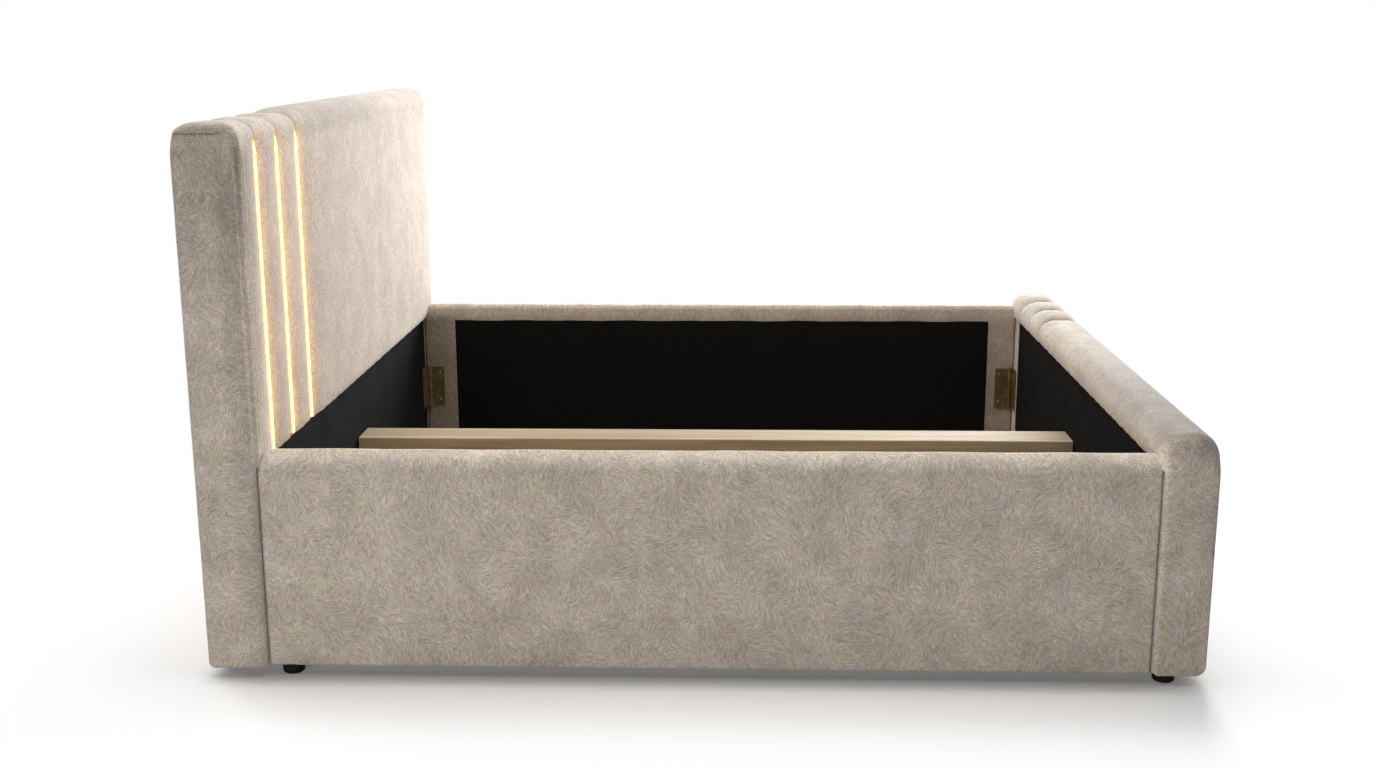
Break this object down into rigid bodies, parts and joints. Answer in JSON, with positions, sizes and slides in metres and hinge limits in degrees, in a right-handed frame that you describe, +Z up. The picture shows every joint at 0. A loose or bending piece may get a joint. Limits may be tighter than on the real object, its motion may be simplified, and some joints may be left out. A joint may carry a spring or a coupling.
{
  "type": "upholstered storage bed",
  "caption": "Upholstered storage bed frame: tall channelled headboard with light strips, padded side rails, low rounded footboard, centre beam and storage floor.",
  "frame": {"origin": "on the floor, under the middle of the bed's outer box", "axes": "+X from the headboard to the footboard, +Y to the right as seen from the foot, +Z up"},
  "size_m": [2.271, 1.961, 1.27],
  "materials": {
    "upholstery": "crushed chenille",
    "lining": "matt non-woven",
    "pine": "planed",
    "board": "plywood",
    "bronze": "dark bronze",
    "steel": "black",
    "aluminium": "anodised",
    "light": "frosted",
    "plastic": "moulded"
  },
  "bodies": {
    "bed_frame": {"headboard_cover": "upholstery", "headboard_main_pad": "upholstery", "headboard_roll_1": "upholstery", "headboard_roll_2": "upholstery", "headboard_roll_3": "upholstery", "headboard_lining": "lining", "headboard_frame": "pine", "headboard_front_board": "board", "led_channel_1": "aluminium", "led_channel_2": "aluminium", "led_channel_3": "aluminium", "led_diffuser_1": "light", "led_diffuser_2": "light", "led_diffuser_3": "light", "led_driver": "plastic", "power_inlet": "plastic", "footboard_main_pad": "upholstery", "footboard_roll_1": "upholstery", "footboard_roll_2": "upholstery", "footboard_roll_3": "upholstery", "footboard_end_cover_left": "upholstery", "footboard_end_cover_right": "upholstery", "footboard_lining": "lining", "footboard_frame": "pine", "footboard_inner_board": "board", "rail_cover_left": "upholstery", "rail_cover_right": "upholstery", "rail_lining_left": "lining", "rail_lining_right": "lining", "rail_board_left": "pine", "rail_board_right": "pine", "rail_leaf_head_left": "bronze", "rail_leaf_head_right": "bronze", "rail_leaf_foot_left": "bronze", "rail_leaf_foot_right": "bronze", "board_leaf_head_left": "bronze", "board_leaf_head_right": "bronze", "board_leaf_foot_left": "bronze", "board_leaf_foot_right": "bronze", "beam_bracket_head": "steel", "beam_bracket_foot": "steel", "foot_head_left": "plastic", "foot_head_right": "plastic", "foot_foot_left": "plastic", "foot_foot_right": "plastic", "floor_centre_board": "pine", "floor_ledge_left": "pine", "floor_ledge_right": "pine", "floor_panel_left": "board", "floor_panel_right": "board"},
    "centre_beam": {"centre_beam": "pine", "leg_plate": "steel", "centre_leg": "steel", "leg_glide": "plastic"},
    "pin_head_left": {"connector_pin_head_left": "bronze"},
    "pin_head_right": {"connector_pin_head_right": "bronze"},
    "pin_foot_left": {"connector_pin_foot_left": "bronze"},
    "pin_foot_right": {"connector_pin_foot_right": "bronze"}
  },
  "joints": [
    {"name": "beam_lift", "type": "slide", "parent": "bed_frame", "child": "centre_beam", "axis": [0, 0, 1], "range_m": [0, 0.16]},
    {"name": "pin_lift_head_left", "type": "slide", "parent": "bed_frame", "child": "pin_head_left", "axis": [0, 0, 1], "range_m": [0, 0.15]},
    {"name": "pin_lift_head_right", "type": "slide", "parent": "bed_frame", "child": "pin_head_right", "axis": [0, 0, 1], "range_m": [0, 0.15]},
    {"name": "pin_lift_foot_left", "type": "slide", "parent": "bed_frame", "child": "pin_foot_left", "axis": [0, 0, 1], "range_m": [0, 0.15]},
    {"name": "pin_lift_foot_right", "type": "slide", "parent": "bed_frame", "child": "pin_foot_right", "axis": [0, 0, 1], "range_m": [0, 0.15]}
  ]
}
